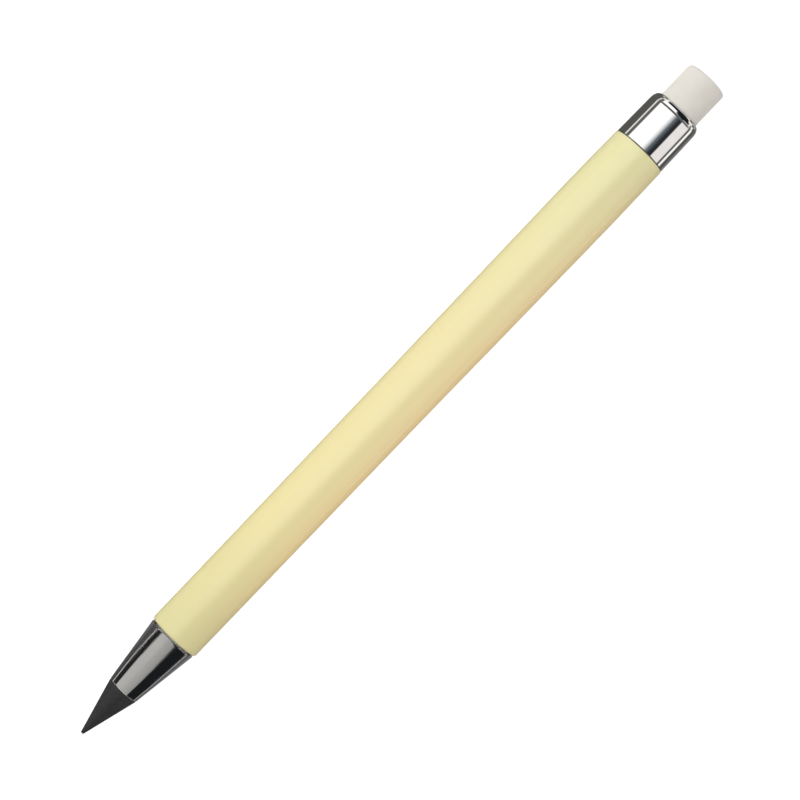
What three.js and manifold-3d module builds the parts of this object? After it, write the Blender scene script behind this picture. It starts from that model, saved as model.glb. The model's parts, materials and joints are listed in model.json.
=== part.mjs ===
// Everlasting pencil lying on its side: tip towards -X, eraser towards +X, resting on Z = 0.
// Everything is turned about one axis, which runs along X at the height of the barrel's largest radius.
// Millimetres throughout. Stations are distances along X from the middle of the pencil.
import * as THREE from "three";
import { mergeVertices } from "three/addons/utils/BufferGeometryUtils.js";
import Module from "manifold-3d";

const wasm = await Module();
wasm.setup();

// Overall sizes
const LENGTH = 150;
const FACETS = 24; // flats round every turned surface; a radius is measured to the middle of a flat
const SEAT = 0.05; // gap left between pieces that bear on each other
const FIT = 0.08; // radial gap of a sliding or turning fit

// Stations of the visible joints, from the tip to the eraser's end
const TIP = -LENGTH / 2;
const NIB_REAR = -65.12;
const NOSE_REAR = -53.15;
const NOSE_GAP = 0.25;
const BARREL_FRONT = NOSE_REAR + NOSE_GAP;
const BARREL_REAR = 58.55;
const FERRULE_REAR = 67.9;
const ERASER_REAR = LENGTH / 2;

// Nib: a blunt cone, a boss behind its shoulder, and a blind hole for the stud
const TIP_R = 0.27;
const NIB_R = 2.85;
const BOSS_R = 1.92;
const BOSS_END = NIB_REAR + 1.5;
const STUD_HOLE_R = 1.15;
const STUD_HOLE_END = -69.2;

// Nose: chromed conical collar, lined by a moulded guide with a spigot into the barrel
const NOSE_FRONT_R = 2.9;
const NOSE_REAR_R = 4.48;
const NOSE_WALL = 0.8;
const NOSE_BORE_END = -62.6;
const LINER_GAP = 0.1;
const SPIGOT_R = 3.6;
const SPIGOT_END = -49.75;

// Stud: pressed shank, plain shank, groove for the retaining ring, M4 x 0.7 thread
const SHANK_R = 1.7;
const GROOVE_R = 1.4;
const RING_R = 2.6;
const RING_THICKNESS = 0.3;
const RING_FRONT = SPIGOT_END + 0.1;
const RING_MOUTH = 1.9;
const PITCH = 0.7;
const CREST_R = 1.97;
const ROOT_R = 1.58;
const THREAD_CLEARANCE = 0.09;
const THREAD_START = -48.4;
const THREAD_END = -43;
const STUD_END = -42.5;
const THREAD_COLUMNS = 24;

// Front bush and its brass insert
const BUSH_FRONT = -52.7;
const BUSH_END = -41.5;
const BUSH_BORE_R = 2.3;
const COUNTERBORE_R = 3.7;
const INSERT_R = 2.9;
const INSERT_FRONT = THREAD_START + 0.1;
const INSERT_END = -43.1;
const KNURL_DEPTH = 0.15;
const KNURL_TEETH = 16;

// Barrel: a tube whose outside swells towards the rear
const BARREL_BORE_R = 4;
const BARREL_MAX_R = 5.16;
const BARREL_OUTLINE = [
  [-52.62, 4.76],
  [-30, 4.8],
  [-12, 4.87],
  [4, 4.92],
  [20, 5.03],
  [36, 5.11],
  [47, BARREL_MAX_R],
  [53, 5.12],
  [58.35, 5.05],
];

// Rear plug, ferrule, sleeve and eraser
const PLUG_FRONT = 46.5;
const PLUG_BORE_R = 2.9;
const PLUG_BORE_END = 57;
const FLANGE_R = 4.4;
const FLANGE_FRONT = BARREL_REAR + 0.07;
const FLANGE_REAR = 60;
const FERRULE_FRONT = BARREL_REAR + SEAT;
const FERRULE_FRONT_R = 4.97;
const FERRULE_REAR_R = 4.87;
const FERRULE_WALL = 0.35;
const SHOULDER_START = 66.3;
const MOUTH_R = 3.96;
const LIP = 0.08;
const SLEEVE_R = 4.43;
const SLEEVE_BORE_R = 3.95;
const SLEEVE_REAR = 66.1;
const SLOT_WIDTH = 0.9;
const SLOT_FRONT = 62;
const ERASER_R = 3.88;
const ERASER_FRONT = FLANGE_REAR + 0.1;
const ERASER_EDGE = 0.65;

const AXIS_HEIGHT = BARREL_MAX_R;

const FINISHES = {
  graphite: { color: 0x3a3a3c, roughness: 0.6, metalness: 0.35 },
  chrome: { color: 0xd9dadb, roughness: 0.08, metalness: 1 },
  lacquer: { color: 0xe6d8a0, roughness: 0.35, metalness: 0 },
  steel: { color: 0xa8aaad, roughness: 0.35, metalness: 1 },
  brass: { color: 0xc9a04e, roughness: 0.3, metalness: 1 },
  nylon: { color: 0xe4e1d6, roughness: 0.55, metalness: 0 },
  rubber: { color: 0xe2ddd3, roughness: 0.85, metalness: 0 },
};

const part = new THREE.Group();
part.name = "everlasting_pencil";
part.position.z = AXIS_HEIGHT;

function add(name, finish, geometry) {
  const mesh = new THREE.Mesh(geometry, new THREE.MeshStandardMaterial(FINISHES[finish]));
  mesh.name = name;
  part.add(mesh);
}

// A solid turned about X from [station, radius] points, with a flat facing down. The outline runs along
// the outside towards +X and back along any bore, and starts and ends on the axis or at the same point.
function turned(outline) {
  const toCorner = 1 / Math.cos(Math.PI / FACETS);
  const points = outline.map(([x, r]) => new THREE.Vector2(r * toCorner, x));
  const geometry = new THREE.LatheGeometry(points, FACETS, Math.PI / FACETS, 2 * Math.PI);
  return geometry.rotateZ(-Math.PI / 2);
}

// A closed ring outline: the outside points, then the bore points, then back to the start.
function ring(outside, bore) {
  return [...outside, ...bore, outside[0]];
}

function box(from, to, width, height, z = 0) {
  const geometry = new THREE.BoxGeometry(to - from, width, height);
  return geometry.translate((from + to) / 2, 0, z);
}

// Points on a quarter ellipse, from straight up (radius centreR + rise) to level with the centre.
function quarter(centreX, centreR, run, rise, steps) {
  const points = [];
  for (let i = 0; i <= steps; i += 1) {
    const a = (i / steps) * (Math.PI / 2);
    points.push([centreX + run * Math.sin(a), centreR + rise * Math.cos(a)]);
  }
  return points;
}

function toSolid(geometry) {
  const plain = geometry.clone();
  plain.deleteAttribute("normal");
  plain.deleteAttribute("uv");
  const merged = mergeVertices(plain, 1e-4);
  const corners = merged.index.array;
  const kept = [];
  for (let i = 0; i < corners.length; i += 3) {
    const [a, b, c] = corners.slice(i, i + 3);
    if (a !== b && b !== c && c !== a) kept.push(a, b, c);
  }
  return new wasm.Manifold(
    new wasm.Mesh({
      numProp: 3,
      vertProperties: merged.attributes.position.array,
      triVerts: new Uint32Array(kept),
    }),
  );
}

function toGeometry(solid) {
  const mesh = solid.getMesh();
  const geometry = new THREE.BufferGeometry();
  geometry.setAttribute("position", new THREE.BufferAttribute(mesh.vertProperties, 3));
  geometry.setIndex(new THREE.BufferAttribute(mesh.triVerts, 1));
  const flat = geometry.toNonIndexed();
  flat.computeVertexNormals();
  return flat;
}

const joined = (a, b) => toGeometry(toSolid(a).add(toSolid(b)));
const common = (a, b) => toGeometry(toSolid(a).intersect(toSolid(b)));
const cut = (a, b) => toGeometry(toSolid(a).subtract(toSolid(b)));

// A long right-hand screw about X with 60 degree flanks, grown by a radial clearance. Each column of
// points is one step round the axis and is shifted along it by the same share of the pitch. Its turns
// are counted from X = 0, so that a stud and a nut of any lengths are in phase.
function screw(from, to, clearance) {
  const section = [[0, ROOT_R], [0.25, ROOT_R], [0.5625, CREST_R], [0.6875, CREST_R]];
  const start = Math.floor(from / PITCH) * PITCH;
  const perTurn = section.length;
  const rows = Math.ceil((to - start) / PITCH + 2) * perTurn;
  const positions = [];
  for (let column = 0; column < THREAD_COLUMNS; column += 1) {
    const share = column / THREAD_COLUMNS;
    const angle = 2 * Math.PI * share;
    for (let row = 0; row <= rows; row += 1) {
      const [phase, radius] = section[row % perTurn];
      const turn = Math.floor(row / perTurn) - 1;
      const r = radius + clearance;
      positions.push(start + PITCH * (turn + phase + share));
      positions.push(r * Math.cos(angle), r * Math.sin(angle));
    }
  }
  const at = (column, row) => column * (rows + 1) + row;
  const foot = positions.length / 3;
  const head = foot + 1;
  positions.push(start - 2 * PITCH, 0, 0, start + PITCH * (rows / perTurn + 1), 0, 0);
  const triangles = [];
  const last = THREAD_COLUMNS - 1;
  for (let column = 0; column < last; column += 1) {
    for (let row = 0; row < rows; row += 1) {
      const [a, b] = [at(column, row), at(column + 1, row)];
      triangles.push(a, b, b + 1, a, b + 1, a + 1);
    }
  }
  for (let row = 0; row < rows - perTurn; row += 1) {
    const [a, b] = [at(last, row), at(0, row + perTurn)];
    triangles.push(a, b, b + 1, a, b + 1, a + 1);
  }
  const lower = [];
  const upper = [];
  for (let column = 0; column < THREAD_COLUMNS; column += 1) {
    lower.push(at(column, 0));
    upper.push(at(column, rows));
  }
  for (let step = 0; step < perTurn; step += 1) {
    lower.push(at(0, perTurn - step));
    upper.push(at(last, rows - step - 1));
  }
  for (let i = 0; i < lower.length; i += 1) {
    const next = (i + 1) % lower.length;
    triangles.push(foot, lower[next], lower[i]);
    triangles.push(head, upper[i], upper[next]);
  }
  const geometry = new THREE.BufferGeometry();
  geometry.setAttribute("position", new THREE.Float32BufferAttribute(positions, 3));
  geometry.setIndex(triangles);
  return geometry;
}

// ---- Nib unit: it turns in the nose and screws out of the barrel ----

add("nib", "graphite", turned([
  [TIP, 0],
  [TIP + 0.02, 0.6 * TIP_R],
  [TIP + 0.1, TIP_R + 0.02],
  [NIB_REAR - 0.1, NIB_R],
  [NIB_REAR, NIB_R - 0.06],
  [NIB_REAR, BOSS_R],
  [BOSS_END, BOSS_R],
  [BOSS_END, STUD_HOLE_R],
  [STUD_HOLE_END, STUD_HOLE_R],
  [STUD_HOLE_END, 0],
]));

const pressedR = STUD_HOLE_R - SEAT;
const shankFront = BOSS_END + SEAT;
const grooveFront = RING_FRONT - SEAT;
const grooveRear = RING_FRONT + RING_THICKNESS + SEAT;
const studBlank = turned([
  [STUD_HOLE_END + 0.1, 0],
  [STUD_HOLE_END + 0.1, pressedR - 0.2],
  [STUD_HOLE_END + 0.3, pressedR],
  [STUD_HOLE_END + 1.6, pressedR],
  [STUD_HOLE_END + 1.8, pressedR - 0.2],
  [STUD_HOLE_END + 2.4, pressedR - 0.2],
  [STUD_HOLE_END + 2.6, pressedR],
  [shankFront, pressedR],
  [shankFront, SHANK_R],
  [grooveFront, SHANK_R],
  [grooveFront, GROOVE_R],
  [grooveRear, GROOVE_R],
  [grooveRear, SHANK_R],
  [THREAD_START, SHANK_R],
  [THREAD_START, ROOT_R - 0.03],
  [THREAD_END, ROOT_R - 0.03],
  [STUD_END, ROOT_R - 0.25],
  [STUD_END, 0],
]);
const studThread = common(
  screw(THREAD_START, THREAD_END, 0),
  turned([
    [THREAD_START - 0.1, 0],
    [THREAD_START - 0.1, CREST_R + 0.2],
    [THREAD_END - 0.5, CREST_R + 0.2],
    [THREAD_END, ROOT_R - 0.1],
    [THREAD_END, 0],
  ]),
);
add("nib_stud", "steel", joined(studBlank, studThread));

const ringRear = RING_FRONT + RING_THICKNESS;
const wholeRing = turned(ring(
  [[RING_FRONT, GROOVE_R + SEAT], [RING_FRONT, RING_R], [ringRear, RING_R]],
  [[ringRear, GROOVE_R + SEAT]],
));
const ringMouth = box(RING_FRONT - 1, ringRear + 1, RING_MOUTH, 2 * RING_R, RING_R);
add("retaining_ring", "steel", cut(wholeRing, ringMouth));

// ---- Nose: rides on the stud, trapped between the nib's shoulder and the retaining ring ----

const noseFront = NIB_REAR + SEAT;
const noseBoreR = BOSS_R + FIT;
const linerSlope = (NOSE_REAR_R - NOSE_FRONT_R) / (NOSE_REAR - noseFront);
const innerR = (x) => NOSE_FRONT_R - NOSE_WALL + linerSlope * (x - noseFront);
add("nose_cone", "chrome", turned(ring(
  [
    [noseFront, noseBoreR],
    [noseFront, NOSE_FRONT_R - 0.1],
    [noseFront + 0.12, NOSE_FRONT_R],
    [NOSE_REAR - 0.25, NOSE_REAR_R],
    [NOSE_REAR - 0.08, NOSE_REAR_R],
    [NOSE_REAR, NOSE_REAR_R - 0.1],
  ],
  [[NOSE_REAR, innerR(NOSE_REAR)], [NOSE_BORE_END, innerR(NOSE_BORE_END)], [NOSE_BORE_END, noseBoreR]],
)));

const guideBoreR = SHANK_R + FIT;
const guideFront = NOSE_BORE_END + LINER_GAP;
add("nose_guide", "nylon", turned(ring(
  [
    [guideFront, guideBoreR],
    [guideFront, innerR(guideFront) - LINER_GAP],
    [NOSE_REAR - 0.3, SPIGOT_R],
    [SPIGOT_END - 0.3, SPIGOT_R],
    [SPIGOT_END, SPIGOT_R - 0.3],
  ],
  [[SPIGOT_END, guideBoreR]],
)));

// ---- Barrel and what is pressed into its front ----

add("barrel_tube", "lacquer", turned(ring(
  [
    [BARREL_FRONT, BARREL_BORE_R],
    [BARREL_FRONT, 4.5],
    ...BARREL_OUTLINE,
    [BARREL_REAR, 4.95],
  ],
  [[BARREL_REAR, BARREL_BORE_R]],
)));

const bushR = BARREL_BORE_R - SEAT;
const pocketR = INSERT_R + SEAT;
add("front_bush", "nylon", turned(ring(
  [
    [BUSH_FRONT, COUNTERBORE_R],
    [BUSH_FRONT, bushR - 0.1],
    [BUSH_FRONT + 0.2, bushR],
    [BUSH_END - 0.4, bushR],
    [BUSH_END, bushR - 0.4],
  ],
  [
    [BUSH_END, BUSH_BORE_R],
    [INSERT_END + 0.1, BUSH_BORE_R],
    [INSERT_END + 0.1, pocketR],
    [THREAD_START, pocketR],
    [THREAD_START, COUNTERBORE_R],
  ],
)));

// The insert's knurl is a row of shallow flutes along it, between two plain collars.
const insertMiddle = (INSERT_FRONT + INSERT_END) / 2;
let insert = toSolid(turned([
  [INSERT_FRONT, 0],
  [INSERT_FRONT, INSERT_R - 0.2],
  [INSERT_FRONT + 0.2, INSERT_R],
  [insertMiddle - 0.5, INSERT_R],
  [insertMiddle - 0.3, INSERT_R - 0.35],
  [insertMiddle + 0.3, INSERT_R - 0.35],
  [insertMiddle + 0.5, INSERT_R],
  [INSERT_END - 0.2, INSERT_R],
  [INSERT_END, INSERT_R - 0.2],
  [INSERT_END, 0],
]));
for (let i = 0; i < KNURL_TEETH; i += 1) {
  const flute = new THREE.BoxGeometry(LENGTH, 2 * KNURL_DEPTH, 2 * KNURL_DEPTH);
  flute.rotateX(Math.PI / 4);
  flute.translate(insertMiddle, 0, INSERT_R + KNURL_DEPTH / 3);
  flute.rotateX((2 * Math.PI * i) / KNURL_TEETH);
  insert = insert.subtract(toSolid(flute));
}
insert = insert.subtract(toSolid(screw(INSERT_FRONT - 1, INSERT_END + 1, THREAD_CLEARANCE)));
add("thread_insert", "brass", toGeometry(insert));

// ---- Rear end: plug, ferrule, eraser sleeve and eraser ----

const plugGrooves = [];
for (const start of [48.5, 52.5]) {
  plugGrooves.push([start, bushR], [start + 0.3, bushR - 0.3]);
  plugGrooves.push([start + 1.5, bushR - 0.3], [start + 1.8, bushR]);
}
add("rear_plug", "nylon", turned([
  [PLUG_BORE_END, 0],
  [PLUG_BORE_END, PLUG_BORE_R],
  [PLUG_FRONT, PLUG_BORE_R],
  [PLUG_FRONT, bushR - 0.3],
  [PLUG_FRONT + 0.4, bushR],
  ...plugGrooves,
  [FLANGE_FRONT, bushR],
  [FLANGE_FRONT, FLANGE_R],
  [FLANGE_REAR - 0.2, FLANGE_R],
  [FLANGE_REAR, FLANGE_R - 0.2],
  [FLANGE_REAR, 0],
]));

const shoulderRun = FERRULE_REAR - SHOULDER_START;
const outerCentre = MOUTH_R + LIP;
const outerShoulder = quarter(SHOULDER_START, outerCentre, shoulderRun, FERRULE_REAR_R - outerCentre, 6);
const innerShoulder = quarter(
  SHOULDER_START,
  MOUTH_R,
  shoulderRun - FERRULE_WALL,
  FERRULE_REAR_R - FERRULE_WALL - MOUTH_R,
  4,
);
add("ferrule", "chrome", turned(ring(
  [
    [FERRULE_FRONT, FERRULE_FRONT_R - FERRULE_WALL],
    [FERRULE_FRONT, FERRULE_FRONT_R - 0.06],
    [FERRULE_FRONT + 0.08, FERRULE_FRONT_R],
    ...outerShoulder,
  ],
  [[FERRULE_REAR, MOUTH_R], ...innerShoulder.reverse()],
)));

const sleeveTube = turned(ring(
  [[FLANGE_REAR + 0.1, SLEEVE_BORE_R], [FLANGE_REAR + 0.1, SLEEVE_R], [SLEEVE_REAR, SLEEVE_R]],
  [[SLEEVE_REAR, SLEEVE_BORE_R]],
));
const crossSlots = joined(
  box(SLOT_FRONT, SLEEVE_REAR + 1, SLOT_WIDTH, 4 * SLEEVE_R),
  box(SLOT_FRONT, SLEEVE_REAR + 1, 4 * SLEEVE_R, SLOT_WIDTH),
);
add("eraser_sleeve", "nylon", cut(sleeveTube, crossSlots));

add("eraser", "rubber", turned([
  [ERASER_FRONT, 0],
  [ERASER_FRONT, ERASER_R - 0.3],
  [ERASER_FRONT + 0.3, ERASER_R],
  ...quarter(ERASER_REAR - ERASER_EDGE, ERASER_R - ERASER_EDGE, ERASER_EDGE, ERASER_EDGE, 4),
  [ERASER_REAR, 0],
]));

export default part;
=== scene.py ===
import json
import math

import bmesh
import bpy
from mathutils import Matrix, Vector


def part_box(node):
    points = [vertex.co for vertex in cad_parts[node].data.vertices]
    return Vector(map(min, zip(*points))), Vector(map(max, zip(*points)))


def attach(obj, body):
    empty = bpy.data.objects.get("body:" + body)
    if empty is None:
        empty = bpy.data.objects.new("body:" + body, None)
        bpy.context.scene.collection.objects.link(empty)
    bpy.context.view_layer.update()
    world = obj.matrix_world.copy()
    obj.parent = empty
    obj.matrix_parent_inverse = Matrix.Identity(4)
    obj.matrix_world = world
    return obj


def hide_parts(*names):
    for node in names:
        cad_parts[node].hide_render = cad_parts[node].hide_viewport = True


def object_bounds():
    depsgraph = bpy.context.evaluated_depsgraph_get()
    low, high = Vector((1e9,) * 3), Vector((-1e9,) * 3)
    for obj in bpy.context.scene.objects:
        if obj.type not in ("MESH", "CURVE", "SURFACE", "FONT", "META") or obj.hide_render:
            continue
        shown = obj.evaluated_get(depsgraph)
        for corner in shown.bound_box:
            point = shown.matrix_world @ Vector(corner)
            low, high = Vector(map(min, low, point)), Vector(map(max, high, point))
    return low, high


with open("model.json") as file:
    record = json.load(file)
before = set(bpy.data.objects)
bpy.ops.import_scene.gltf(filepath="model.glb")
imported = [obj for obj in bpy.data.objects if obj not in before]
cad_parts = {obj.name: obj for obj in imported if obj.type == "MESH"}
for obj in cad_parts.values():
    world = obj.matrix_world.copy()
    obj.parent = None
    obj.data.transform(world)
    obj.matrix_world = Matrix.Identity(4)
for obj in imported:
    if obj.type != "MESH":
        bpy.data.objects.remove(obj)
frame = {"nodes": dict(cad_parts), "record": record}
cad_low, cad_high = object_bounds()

# The looks of an everlasting pencil lying along X, tip towards -X. Metres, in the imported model's frame.
# Each turned piece takes its outline from its CAD node, rounds every corner and is spun smooth.

MM = 0.001
BARREL_LOW, BARREL_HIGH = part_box("barrel_tube")
AXIS_Z = (BARREL_LOW.z + BARREL_HIGH.z) / 2
BARREL_BORE_LIMIT = 4.3 * MM  # between the radius of the barrel's bore and that of its outside

COLUMNS = 192  # steps round a spun surface
CORNER_STEPS = 4  # steps round a rounded square corner
CORNER_TURN = math.radians(12)  # a smaller turn in an outline is part of a curve and stays
STRAIGHT_TURN = math.radians(0.02)  # a smaller turn is no corner at all
LONGEST_STEP = 3 * MM  # along a straight stretch of an outline
SIDE_SHARE = 0.45  # how much of a side one rounded corner may take
SAME_PLACE = 1e-7  # two points this close are one


# ---------------------------------------------------------------- outlines and meshes


def cad_outline(node):
    """The half section of a turned CAD node above the axis, as (points, closed); a point is (x, radius).

    The CAD's flats are measured to their middles and one flat faces up, so a cut there is the true size.
    A closed outline goes round a bore, an open one starts and ends on the axis.
    """
    cut = bmesh.new()
    cut.from_mesh(frame["nodes"][node].data)
    bmesh.ops.remove_doubles(cut, verts=cut.verts, dist=SAME_PLACE)
    bmesh.ops.bisect_plane(
        cut,
        geom=cut.verts[:] + cut.edges[:] + cut.faces[:],
        plane_co=(0, 0, AXIS_Z),
        plane_no=(0, 0, 1),
        clear_inner=True,
    )
    made = bmesh.ops.bisect_plane(
        cut,
        geom=cut.verts[:] + cut.edges[:] + cut.faces[:],
        plane_co=(0, 0, 0),
        plane_no=(0, 1, 0),
    )
    near = {}
    for edge in made["geom_cut"]:
        if isinstance(edge, bmesh.types.BMEdge):
            a, b = edge.verts
            near.setdefault(a, []).append(b)
            near.setdefault(b, []).append(a)
    ends = [v for v in near if len(near[v]) == 1]
    closed = not ends
    start = min(ends or near, key=lambda v: v.co.x)
    walk, last = [start], None
    while True:
        onward = [v for v in near[walk[-1]] if v is not last and (v is not start or len(walk) > 2)]
        if not onward or onward[0] is start:
            break
        last = walk[-1]
        walk.append(onward[0])
    points = [(v.co.x, max(0.0, v.co.z - AXIS_Z)) for v in walk]
    cut.free()
    return without_straight_points(points, closed), closed


def turn_at(before, here, after):
    """How much an outline turns at a point, in radians."""
    into = Vector(here) - Vector(before)
    out = Vector(after) - Vector(here)
    if min(into.length, out.length) < 1e-9:
        return 0.0
    return abs(into.angle_signed(out))


def neighbours(points, i, closed):
    """The points before and after one point; the end of an open outline is its own neighbour."""
    if closed:
        return points[i - 1], points[(i + 1) % len(points)]
    return points[max(i - 1, 0)], points[min(i + 1, len(points) - 1)]


def without_straight_points(points, closed):
    """The outline without the points that a cut leaves on straight stretches."""
    kept = []
    for i, here in enumerate(points):
        before, after = neighbours(points, i, closed)
        at_end = not closed and i in (0, len(points) - 1)
        if at_end or turn_at(before, here, after) > STRAIGHT_TURN:
            kept.append(here)
    return kept


def rounded(points, closed, radius):
    """The outline with an arc of about that radius at every real corner."""
    made = []
    for i, here in enumerate(points):
        before, after = neighbours(points, i, closed)
        turn = turn_at(before, here, after)
        at_end = not closed and i in (0, len(points) - 1)
        if at_end or turn < CORNER_TURN:
            made.append(here)
            continue
        corner = Vector(here)
        back = Vector(before) - corner
        ahead = Vector(after) - corner
        reach = min(radius * math.tan(turn / 2), SIDE_SHARE * min(back.length, ahead.length))
        a = corner + back.normalized() * reach
        b = corner + ahead.normalized() * reach
        steps = max(2, round(CORNER_STEPS * turn / (math.pi / 2)))
        for step in range(steps + 1):
            t = step / steps
            made.append(tuple(a * (1 - t) ** 2 + corner * 2 * t * (1 - t) + b * t**2))
    return made


def stepped(points, closed, hold):
    """The outline with points just inside each end of a long stretch, which keep its shading flat."""
    made = []
    count = len(points) if closed else len(points) - 1
    for i in range(count):
        a, b = Vector(points[i]), Vector(points[(i + 1) % len(points)])
        length = (b - a).length
        made.append(tuple(a))
        if length <= 4 * hold:
            continue
        steps = max(1, math.ceil((length - 2 * hold) / LONGEST_STEP))
        for step in range(steps + 1):
            along = hold + (length - 2 * hold) * step / steps
            made.append(tuple(a.lerp(b, along / length)))
    if not closed:
        made.append(points[-1])
    return made


def eased(points, first, last):
    """The barrel's outline with a smooth curve through its outside points between two stations."""
    swell = [i for i, (x, r) in enumerate(points) if first <= x <= last and r > BARREL_BORE_LIMIT]
    run = [points[i] for i in swell]
    made = []
    for i in range(len(run) - 1):
        p0, p1, p2, p3 = run[max(i - 1, 0)], run[i], run[i + 1], run[min(i + 2, len(run) - 1)]
        span = p2[0] - p1[0]
        m1 = (p2[1] - p0[1]) / (p2[0] - p0[0])
        m2 = (p3[1] - p1[1]) / (p3[0] - p1[0])
        steps = max(1, round(span / LONGEST_STEP))
        for step in range(steps):
            t = step / steps
            h1, h2 = 2 * t**3 - 3 * t**2 + 1, -2 * t**3 + 3 * t**2
            g1, g2 = t**3 - 2 * t**2 + t, t**3 - t**2
            made.append((p1[0] + span * t, h1 * p1[1] + h2 * p2[1] + span * (g1 * m1 + g2 * m2)))
    made.append(run[-1])
    return points[: swell[0]] + made + points[swell[-1] + 1 :]


def spun(name, points, closed):
    """A mesh of the outline turned about the pencil's axis, faces outwards."""
    mesh = bmesh.new()
    rings = []
    for x, r in points:
        if r < SAME_PLACE:
            rings.append([mesh.verts.new((x, 0, AXIS_Z))])
            continue
        ring = []
        for column in range(COLUMNS):
            angle = 2 * math.pi * column / COLUMNS
            ring.append(mesh.verts.new((x, r * math.sin(angle), AXIS_Z + r * math.cos(angle))))
        rings.append(ring)
    pairs = list(zip(rings, rings[1:]))
    if closed:
        pairs.append((rings[-1], rings[0]))
    for a, b in pairs:
        for column in range(COLUMNS):
            onward = (column + 1) % COLUMNS
            corners = [a[column % len(a)], a[onward % len(a)], b[onward % len(b)], b[column % len(b)]]
            mesh.faces.new(list(dict.fromkeys(corners)))
    bmesh.ops.recalc_face_normals(mesh, faces=mesh.faces)
    data = bpy.data.meshes.new(name)
    mesh.to_mesh(data)
    mesh.free()
    data.shade_smooth()
    piece = bpy.data.objects.new(name, data)
    bpy.context.scene.collection.objects.link(piece)
    return piece


def body_of(node):
    return next(b for b, nodes in frame["record"]["behaviour"]["bodies"].items() if node in nodes)


def slot_of(node):
    return next(s["material_slot"] for s in frame["record"]["subparts"] if s["node"] == node)


def turned_piece(node, material, radius, curve=None):
    """A smooth piece in place of a turned CAD node, its corners rounded to that radius."""
    points, closed = cad_outline(node)
    if curve:
        points = eased(points, *curve)
    points = stepped(rounded(points, closed, radius), closed, 0.5 * radius)
    piece = spun(node + "_fine", points, closed)
    piece.data.materials.append(material)
    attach(piece, body_of(node))
    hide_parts(node)


# ---------------------------------------------------------------- materials


class Nodes:
    """Shader nodes in one tree. The methods named for a kind of node add one and give its output."""

    def __init__(self, tree):
        self.tree = tree

    def add(self, kind, **settings):
        node = self.tree.nodes.new(kind)
        for key, value in settings.items():
            setattr(node, key, value)
        return node

    def feed(self, node, socket, value):
        if isinstance(value, bpy.types.NodeSocket):
            self.tree.links.new(value, node.inputs[socket])
        else:
            node.inputs[socket].default_value = value

    def remap(self, value, low, high, start=0.3, end=0.7):
        """Low up to start, high from end on, a straight line between. Noise is mostly within 0.3 to 0.7."""
        node = self.add("ShaderNodeMapRange")
        for socket, number in zip(range(5), (value, start, end, low, high)):
            self.feed(node, socket, number)
        return node.outputs[0]

    def ramp(self, value, *stops):
        """A colour ramp; each stop is (position, linear RGB)."""
        node = self.add("ShaderNodeValToRGB")
        elements = node.color_ramp.elements
        while len(elements) < len(stops):
            elements.new(0.5)
        for element, (position, colour) in zip(elements, stops):
            element.position = position
            element.color = (*colour, 1)
        self.feed(node, 0, value)
        return node.outputs[0]

    def mix(self, factor, a, b, blend="MIX"):
        node = self.add("ShaderNodeMix", data_type="RGBA", blend_type=blend)
        for socket, value in ((0, factor), (6, a), (7, b)):
            self.feed(node, socket, value)
        return node.outputs[2]

    def maths(self, operation, a, b=0.0, c=0.0):
        node = self.add("ShaderNodeMath", operation=operation)
        for socket, value in enumerate((a, b, c)):
            self.feed(node, socket, value)
        return node.outputs[0]


class Look(Nodes):
    """A material that grows from one Principled shader."""

    def __init__(self, name, **values):
        self.material = bpy.data.materials.new(name)
        self.material.use_nodes = True
        super().__init__(self.material.node_tree)
        self.shader = self.tree.nodes["Principled BSDF"]
        self.set(**values)
        self.place = self.add("ShaderNodeTexCoord").outputs["Object"]

    def set(self, **values):
        """Sets or links sockets of the shader; an underscore in a name stands for a space."""
        for socket, value in values.items():
            self.feed(self.shader, socket.replace("_", " "), value)

    def noise(self, size, detail=3.0, stretch=(1, 1, 1), roughness=0.5):
        """Noise with blotches about that many millimetres across; a stretch below 1 draws them out."""
        mapping = self.add("ShaderNodeMapping")
        self.feed(mapping, "Vector", self.place)
        self.feed(mapping, "Scale", [s / (size * MM) for s in stretch])
        node = self.add("ShaderNodeTexNoise")
        self.feed(node, "Vector", mapping.outputs[0])
        self.feed(node, "Scale", 1.0)
        self.feed(node, "Detail", detail)
        self.feed(node, "Roughness", roughness)
        return node.outputs[0]

    def along(self):
        """The station along the pencil, in millimetres."""
        split = self.add("ShaderNodeSeparateXYZ")
        self.feed(split, 0, self.place)
        return self.maths("MULTIPLY", split.outputs[0], 1 / MM)

    def bumps(self, *layers):
        """Stacked bump layers; each is (height from 0 to 1, depth in millimetres)."""
        normal = None
        for height, depth in layers:
            node = self.add("ShaderNodeBump")
            self.feed(node, "Strength", 1.0)
            self.feed(node, "Distance", depth * MM)
            self.feed(node, "Height", height)
            if normal is not None:
                self.feed(node, "Normal", normal)
            normal = node.outputs[0]
        self.set(Normal=normal)


END_SHADE_WIDTH = 0.08  # millimetres at each cut end of the tube painted near black, as painted shade in the joints at the nose and the ferrule
TONE_FROM, TONE_TO = -56, 60  # the stations that the lacquer's tones run between, in millimetres


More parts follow.
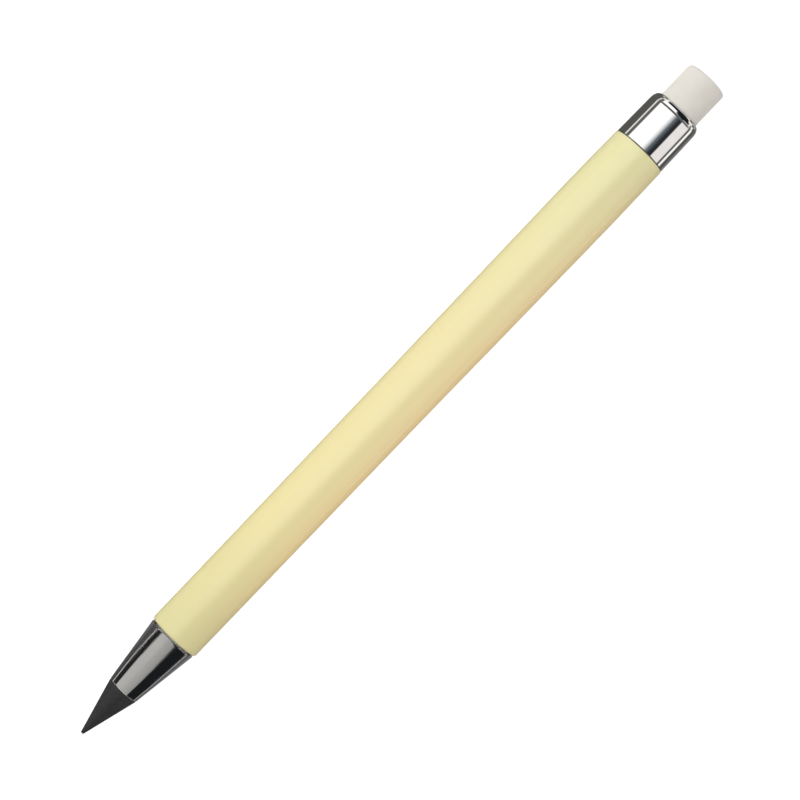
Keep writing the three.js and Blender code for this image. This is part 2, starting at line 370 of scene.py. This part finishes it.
def lacquer():
    """Cream lacquer, a little greener towards both ends of the barrel, with a near-black band of painted
    shade at each cut end for the joints.
    """
    look = Look("cream_lacquer", IOR=1.5)
    station = look.along()
    tone = look.ramp(
        look.remap(station, 0.0, 1.0, TONE_FROM, TONE_TO),
        (0.0, (0.75, 0.705, 0.365)),
        (0.25, (0.85, 0.755, 0.385)),
        (0.6, (0.86, 0.765, 0.41)),
        (1.0, (0.8, 0.765, 0.42)),
    )
    cloud = look.remap(look.noise(7, detail=2, stretch=(0.4, 1, 1)), 0.0, 0.06)
    colour = look.mix(cloud, tone, (0.8, 0.7, 0.36, 1))
    grain = look.remap(look.noise(0.25), 0.0, 0.03)
    colour = look.mix(grain, colour, (0.74, 0.66, 0.4, 1))

    # A near-black band at each cut end of the tube is painted shade, standing in for the shadow in the joints
    # against the nose and the ferrule.
    middle, half = (BARREL_LOW.x + BARREL_HIGH.x) / 2 / MM, (BARREL_HIGH.x - BARREL_LOW.x) / 2 / MM
    from_middle = look.maths("ABSOLUTE", look.maths("SUBTRACT", station, middle))
    end_shade = look.remap(from_middle, 0.0, 1.0, half - END_SHADE_WIDTH, half - 0.5 * END_SHADE_WIDTH)
    colour = look.mix(end_shade, colour, (0.05, 0.045, 0.035, 1))

    look.set(Base_Color=colour, Roughness=look.remap(look.noise(1.6), 0.15, 0.2))
    waves = look.noise(3, detail=1, stretch=(0.15, 1, 1))
    drawn = look.noise(0.8, detail=2, stretch=(0.02, 1, 1))
    look.bumps((waves, 0.0012), (drawn, 0.001))
    return look.material


def chrome():
    """Polished plate with a thin film of handling and hair scratches."""
    look = Look("chrome_plate", Metallic=1.0)
    film = look.noise(2.2, detail=3)
    scratches = look.noise(0.25, detail=2, stretch=(0.05, 1, 1))
    look.set(Base_Color=look.ramp(film, (0.3, (0.86, 0.86, 0.855)), (0.7, (0.9, 0.9, 0.9))))
    look.set(Roughness=look.remap(film, 0.035, 0.07))
    look.bumps((look.noise(1.8, detail=1), 0.0015), (scratches, 0.00015))
    return look.material


def graphite():
    """Matte graphite alloy with the marks of its turning."""
    look = Look("graphite_alloy", Metallic=0.25, IOR=1.6)
    mottle = look.noise(0.7, detail=4, roughness=0.6)
    turning = look.noise(0.09, detail=2, stretch=(1, 0.02, 0.02))
    colour = look.ramp(mottle, (0.3, (0.026, 0.026, 0.0265)), (0.7, (0.04, 0.04, 0.041)))
    look.set(Base_Color=colour, Roughness=look.remap(mottle, 0.62, 0.5))
    look.bumps((turning, 0.003), (look.noise(0.06, detail=3), 0.003))
    return look.material


def rubber():
    """White eraser, slightly dusty."""
    look = Look("white_eraser", IOR=1.45, Subsurface_Weight=0.08, Subsurface_Scale=0.4 * MM)
    cloud = look.noise(2.5, detail=3)
    look.set(Base_Color=look.ramp(cloud, (0.3, (0.74, 0.71, 0.65)), (0.7, (0.78, 0.755, 0.7))))
    look.set(Roughness=look.remap(look.noise(0.4), 0.75, 0.9))
    look.bumps((look.noise(1.1, detail=3), 0.006), (look.noise(0.12, detail=3), 0.003))
    return look.material


def nylon():
    """Natural nylon as moulded."""
    look = Look("moulded_nylon", IOR=1.53, Subsurface_Weight=0.1, Subsurface_Scale=0.5 * MM)
    cloud = look.noise(1.5, detail=3)
    look.set(Base_Color=look.ramp(cloud, (0.3, (0.66, 0.64, 0.56)), (0.7, (0.74, 0.72, 0.65))))
    look.set(Roughness=look.remap(look.noise(0.3), 0.38, 0.52))
    look.bumps((look.noise(0.15, detail=3), 0.0015))
    return look.material


def turned_metal(name, dark, light):
    """Metal turned on a lathe, its fine rings round the pencil's axis."""
    look = Look(name, Metallic=1.0)
    film = look.noise(0.8, detail=3)
    rings = look.noise(0.05, detail=2, stretch=(1, 0.02, 0.02))
    look.set(Base_Color=look.ramp(film, (0.3, dark), (0.7, light)))
    look.set(Roughness=look.remap(rings, 0.2, 0.36))
    look.bumps((rings, 0.002), (look.noise(0.1, detail=2), 0.0005))
    return look.material


LOOKS = {
    "lacquer": lacquer(),
    "chrome": chrome(),
    "graphite_alloy": graphite(),
    "eraser": rubber(),
    "moulding": nylon(),
    "steel": turned_metal("plated_steel", (0.5, 0.5, 0.51), (0.62, 0.62, 0.63)),
    "brass": turned_metal("turned_brass", (0.62, 0.42, 0.16), (0.76, 0.54, 0.24)),
}


# ---------------------------------------------------------------- the pencil

turned_piece("nib", LOOKS["graphite_alloy"], 0.08 * MM)
turned_piece("nose_cone", LOOKS["chrome"], 0.03 * MM)
turned_piece("nose_guide", LOOKS["moulding"], 0.12 * MM)
SWELL = (BARREL_LOW.x + 0.25 * MM, BARREL_HIGH.x - 0.15 * MM)  # from one chamfer to the other
turned_piece("barrel_tube", LOOKS["lacquer"], 0.1 * MM, curve=SWELL)
turned_piece("front_bush", LOOKS["moulding"], 0.08 * MM)
turned_piece("rear_plug", LOOKS["moulding"], 0.1 * MM)
turned_piece("ferrule", LOOKS["chrome"], 0.1 * MM)
turned_piece("eraser", LOOKS["eraser"], 0.3 * MM)

for node in ("nib_stud", "retaining_ring", "thread_insert", "eraser_sleeve"):
    kept = frame["nodes"][node]
    kept.data.materials.clear()
    kept.data.materials.append(LOOKS[slot_of(node)])


# ---------------------------------------------------------------- studio


FLOOR_HALF = 3.0


def studio_floor():
    """A pale light table: faintly lit from inside, so the pencil throws almost no shadow."""
    data = bpy.data.meshes.new("floor")
    corners = [(x * FLOOR_HALF, y * FLOOR_HALF, 0) for x, y in ((-1, -1), (1, -1), (1, 1), (-1, 1))]
    data.from_pydata(corners, [], [(0, 1, 2, 3)])
    floor = bpy.data.objects.new("floor", data)
    bpy.context.scene.collection.objects.link(floor)
    floor.visible_glossy = False
    look = Look("light_table", Roughness=1.0, Specular_IOR_Level=0.0)
    look.set(Emission_Color=(1, 1, 1, 1), Emission_Strength=0.9)
    look.set(Base_Color=look.ramp(look.noise(60), (0.3, (0.34, 0.34, 0.34)), (0.7, (0.36, 0.36, 0.36))))
    data.materials.append(look.material)


# The studio round the pencil, as its chrome shows it. Each stop is (degrees from straight up towards the
# near side, brightness, colour): a card is bright, and what is between cards is dark. The overhead cards are
# what the barrel's and ferrule's length shows, the front cards what the nose shows, and the side cards what
# either shows at a slant.
WHITE = (1.0, 1.0, 1.0)
WARM = (1.0, 0.98, 0.94)
PINK = (1.0, 0.955, 0.94)
COOL = (0.78, 0.9, 1.0)
GREEN = (1.0, 1.0, 0.92)
OVERHEAD_CARDS = (
    (-180, 0.25, WHITE),
    (-155, 0.12, WHITE),
    (-138, 0.09, GREEN),
    (-104, 0.1, GREEN),
    (-99, 0.13, WARM),
    (-97, 0.95, WARM),
    (-93, 0.95, WARM),
    (-90, 0.14, WARM),
    (-77.5, 0.12, WARM),
    (-73, 1.25, WARM),
    (-9, 1.25, WHITE),
    (-1, 1.0, WHITE),
    (8, 0.57, WHITE),
    (15, 0.19, COOL),
    (23, 0.1, COOL),
    (31, 0.03, COOL),
    (42.5, 0.035, COOL),
    (46, 0.9, PINK),
    (80, 0.9, PINK),
    (86.5, 0.85, PINK),
    (90, 0.11, WARM),
    (98, 0.11, WARM),
    (100.5, 1.05, WARM),
    (110.5, 1.05, WARM),
    (114, 0.08, WARM),
    (126, 0.09, WARM),
    (140, 0.15, WARM),
    (155, 0.25, WHITE),
    (180, 0.3, WHITE),
)
FRONT_CARDS = (
    (-180, 0.15, WHITE),
    (-150, 0.09, WHITE),
    (-136, 0.07, WHITE),
    (-120, 0.07, WHITE),
    (-112, 0.02, WHITE),
    (-108, 0.02, WHITE),
    (-106, 0.65, WARM),
    (-101, 0.65, WARM),
    (-99, 0.015, WHITE),
    (-65, 0.015, WHITE),
    (-61.5, 0.5, WARM),
    (-20, 0.47, WARM),
    (5, 0.4, WARM),
    (36, 0.34, WARM),
    (41.5, 0.3, WARM),
    (45, 0.013, COOL),
    (116, 0.013, COOL),
    (119, 0.45, WHITE),
    (123, 0.45, WHITE),
    (126, 0.06, WHITE),
    (150, 0.15, WHITE),
    (180, 0.25, WHITE),
)
SIDE_CARDS = (
    (-180, 0.15, WHITE),
    (-152, 0.3, WHITE),
    (-124, 0.55, WARM),
    (-118, 0.1, WHITE),
    (-106, 0.1, WHITE),
    (-100, 0.95, WARM),
    (-68, 0.95, WARM),
    (-62, 0.014, COOL),
    (76, 0.014, COOL),
    (82, 0.9, PINK),
    (104, 0.9, PINK),
    (110, 0.12, WHITE),
    (122, 0.12, WHITE),
    (128, 0.5, WHITE),
    (155, 0.3, WHITE),
    (180, 0.15, WHITE),
)


# Where each zone of the studio begins and ends, in degrees of lean towards the eraser (below zero, the tip).
# A pair is the start and the end of the fade into the zone.
RIM_SHADE = (13.5, 14.5), (17.5, 16.5)  # a dark strip, which draws the start of the ferrule's shoulder
REAR_SIDES = 33.0  # the side cards begin here
REAR_SWING = 7.0  # and later by this on the far side, sooner by this on the near side
REAR_SWING_ANGLE = 20  # degrees across, on either side of straight up, within which that changes over
REAR_GREY = (56, 66)
REAR_END = (72, 80)
FRONT_ZONE = (-5.5, -6.5)
FRONT_SIDES = (-30, -38)
FRONT_END = (-66, -76)
STRIP_GREY = (0.12, 0.12, 0.12, 1)
SLANT_GREY = (0.35, 0.35, 0.35, 1)
REAR_END_GREY = (0.6, 0.6, 0.59, 1)
FRONT_END_GREY = (0.8, 0.8, 0.79, 1)

# The nose is a cone, so from above it shows lines of the studio that bow towards the tip, one line for each
# station along it. That lets the front cards be wedges, which narrow from the tip's side to the barrel's.
NOSE_BOW = 0.258  # twice the sine times the cosine of the nose's slope
NOSE_LINES = (-0.1403, -0.1153)  # the line that the nose's front end shows, and the one that its rear shows
WEDGE_MIDDLE = -10.0  # degrees across that the wedges narrow towards
FAR_TAPER = 0.45  # how much the wedges' far edges draw in, as a share of their distance from the middle
NEAR_TAPER = 22.0  # how much their near edges draw in, in degrees


def cards(sky, angle, stops):
    """The colour of a row of cards at an angle across."""
    share = sky.maths("MULTIPLY_ADD", angle, 1 / 360, 0.5)
    brightest = max(level for _, level, _ in stops)
    scaled = []
    for degrees, level, colour in stops:
        scaled.append((degrees / 360 + 0.5, [level / brightest * c for c in colour]))
    return sky.mix(1.0, sky.ramp(share, *scaled), (brightest,) * 3 + (1,), "MULTIPLY")


def wedge_angle(sky, x, theta, across):
    """The angle across, taken further from the middle towards the barrel, so that cards read by it narrow."""
    upright = sky.maths("COSINE", sky.maths("MULTIPLY", theta, 0.5))
    line = sky.maths("MULTIPLY_ADD", upright, NOSE_BOW, x)
    station = sky.remap(line, 0.0, 1.0, *NOSE_LINES)
    taper = sky.maths("MULTIPLY_ADD", station, FAR_TAPER, 1.0)
    far = sky.maths("MULTIPLY_ADD", sky.maths("SUBTRACT", across, WEDGE_MIDDLE), taper, WEDGE_MIDDLE)
    near = sky.maths("MULTIPLY_ADD", station, NEAR_TAPER, across)
    on_near = sky.maths("GREATER_THAN", across, WEDGE_MIDDLE)
    on_far = sky.maths("SUBTRACT", 1.0, on_near)
    return sky.maths("ADD", sky.maths("MULTIPLY", on_near, near), sky.maths("MULTIPLY", on_far, far))


def studio_world():
    """The cards all round the pencil. The camera itself sees plain white."""
    world = bpy.data.worlds.new("studio")
    bpy.context.scene.world = world
    world.use_nodes = True
    sky = Nodes(world.node_tree)
    split = sky.add("ShaderNodeSeparateXYZ")
    sky.feed(split, 0, sky.add("ShaderNodeTexCoord").outputs["Generated"])
    x, y, z = split.outputs
    theta = sky.maths("ARCTAN2", sky.maths("MULTIPLY", y, -1.0), z)
    across = sky.maths("MULTIPLY", theta, math.degrees(1))
    lean = sky.maths("MULTIPLY", sky.maths("ARCSINE", x), math.degrees(1))

    def fade(value, start, end):
        return sky.remap(value, 0.0, 1.0, start, end)

    seen = cards(sky, across, OVERHEAD_CARDS)
    sides = cards(sky, across, SIDE_CARDS)
    strip = sky.maths("MULTIPLY", *(fade(lean, *edge) for edge in RIM_SHADE))
    seen = sky.mix(strip, seen, STRIP_GREY)
    swing = sky.remap(across, 1.0, -1.0, -REAR_SWING_ANGLE, REAR_SWING_ANGLE)
    past_sides = sky.maths("SUBTRACT", lean, sky.maths("MULTIPLY_ADD", swing, REAR_SWING, REAR_SIDES))
    seen = sky.mix(fade(past_sides, -1.5, 1.5), seen, sides)
    seen = sky.mix(fade(lean, *REAR_GREY), seen, SLANT_GREY)
    seen = sky.mix(fade(lean, *REAR_END), seen, REAR_END_GREY)
    wedge = wedge_angle(sky, x, theta, across)
    seen = sky.mix(fade(lean, *FRONT_ZONE), seen, cards(sky, wedge, FRONT_CARDS))
    seen = sky.mix(fade(lean, *FRONT_SIDES), seen, sides)
    seen = sky.mix(fade(lean, *FRONT_END), seen, FRONT_END_GREY)
    path = sky.add("ShaderNodeLightPath")
    seen = sky.mix(path.outputs["Is Camera Ray"], seen, (1, 1, 1, 1))
    background = world.node_tree.nodes["Background"]
    sky.feed(background, "Color", seen)
    sky.feed(background, "Strength", 1.0)


def softbox(name, place, aim_x, size, power, colour=WHITE):
    """A soft light aimed at a station on the axis. It shines on the pencil and doesn't show in its chrome."""
    lamp = bpy.data.lights.new(name, "AREA")
    lamp.shape = "RECTANGLE"
    lamp.size, lamp.size_y = size
    lamp.energy = power
    lamp.color = colour
    light = bpy.data.objects.new(name, lamp)
    bpy.context.scene.collection.objects.link(light)
    light.location = place
    toward = Vector((aim_x, 0, AXIS_Z)) - Vector(place)
    light.rotation_euler = toward.to_track_quat("-Z", "X").to_euler()
    light.visible_camera = False
    light.visible_glossy = False


EMBER = (1.0, 0.22, 0.04)

studio_floor()
studio_world()
softbox("key", (0.008, 0.08, 0.31), 0, (0.25, 0.25), 0.59)
softbox("fill", (0.005, -0.22, 0.27), 0, (0.3, 0.3), 0.12)
softbox("warm_card", (0.005, -0.022, 0.003), 0.005, (0.02, 0.1), 0.0034, EMBER)
bpy.context.scene.view_settings.view_transform = "Standard"


# ---------------------------------------------------------------- camera

CAMERA_HEIGHT = 0.4527  # above the pencil's axis, looking straight down
FIELD = 0.13264  # width of the view at the height of the axis
VIEW_TURN = math.radians(-46.24)  # lays the pencil across the picture, tip at the lower left
VIEW_SHIFT = 1.38 * MM  # from the pencil's middle towards the eraser
VIEW_RISE = 0.1 * MM  # from the pencil's axis towards the far side
SENSOR = 36

lens = bpy.data.cameras.new("camera")
lens.sensor_width = SENSOR
lens.lens = SENSOR * CAMERA_HEIGHT / FIELD
lens.clip_start = 0.01
camera = bpy.data.objects.new("camera", lens)
bpy.context.scene.collection.objects.link(camera)
camera.location = ((cad_low.x + cad_high.x) / 2 + VIEW_SHIFT, VIEW_RISE, AXIS_Z + CAMERA_HEIGHT)
camera.rotation_euler = (0, 0, VIEW_TURN)
bpy.context.scene.camera = camera
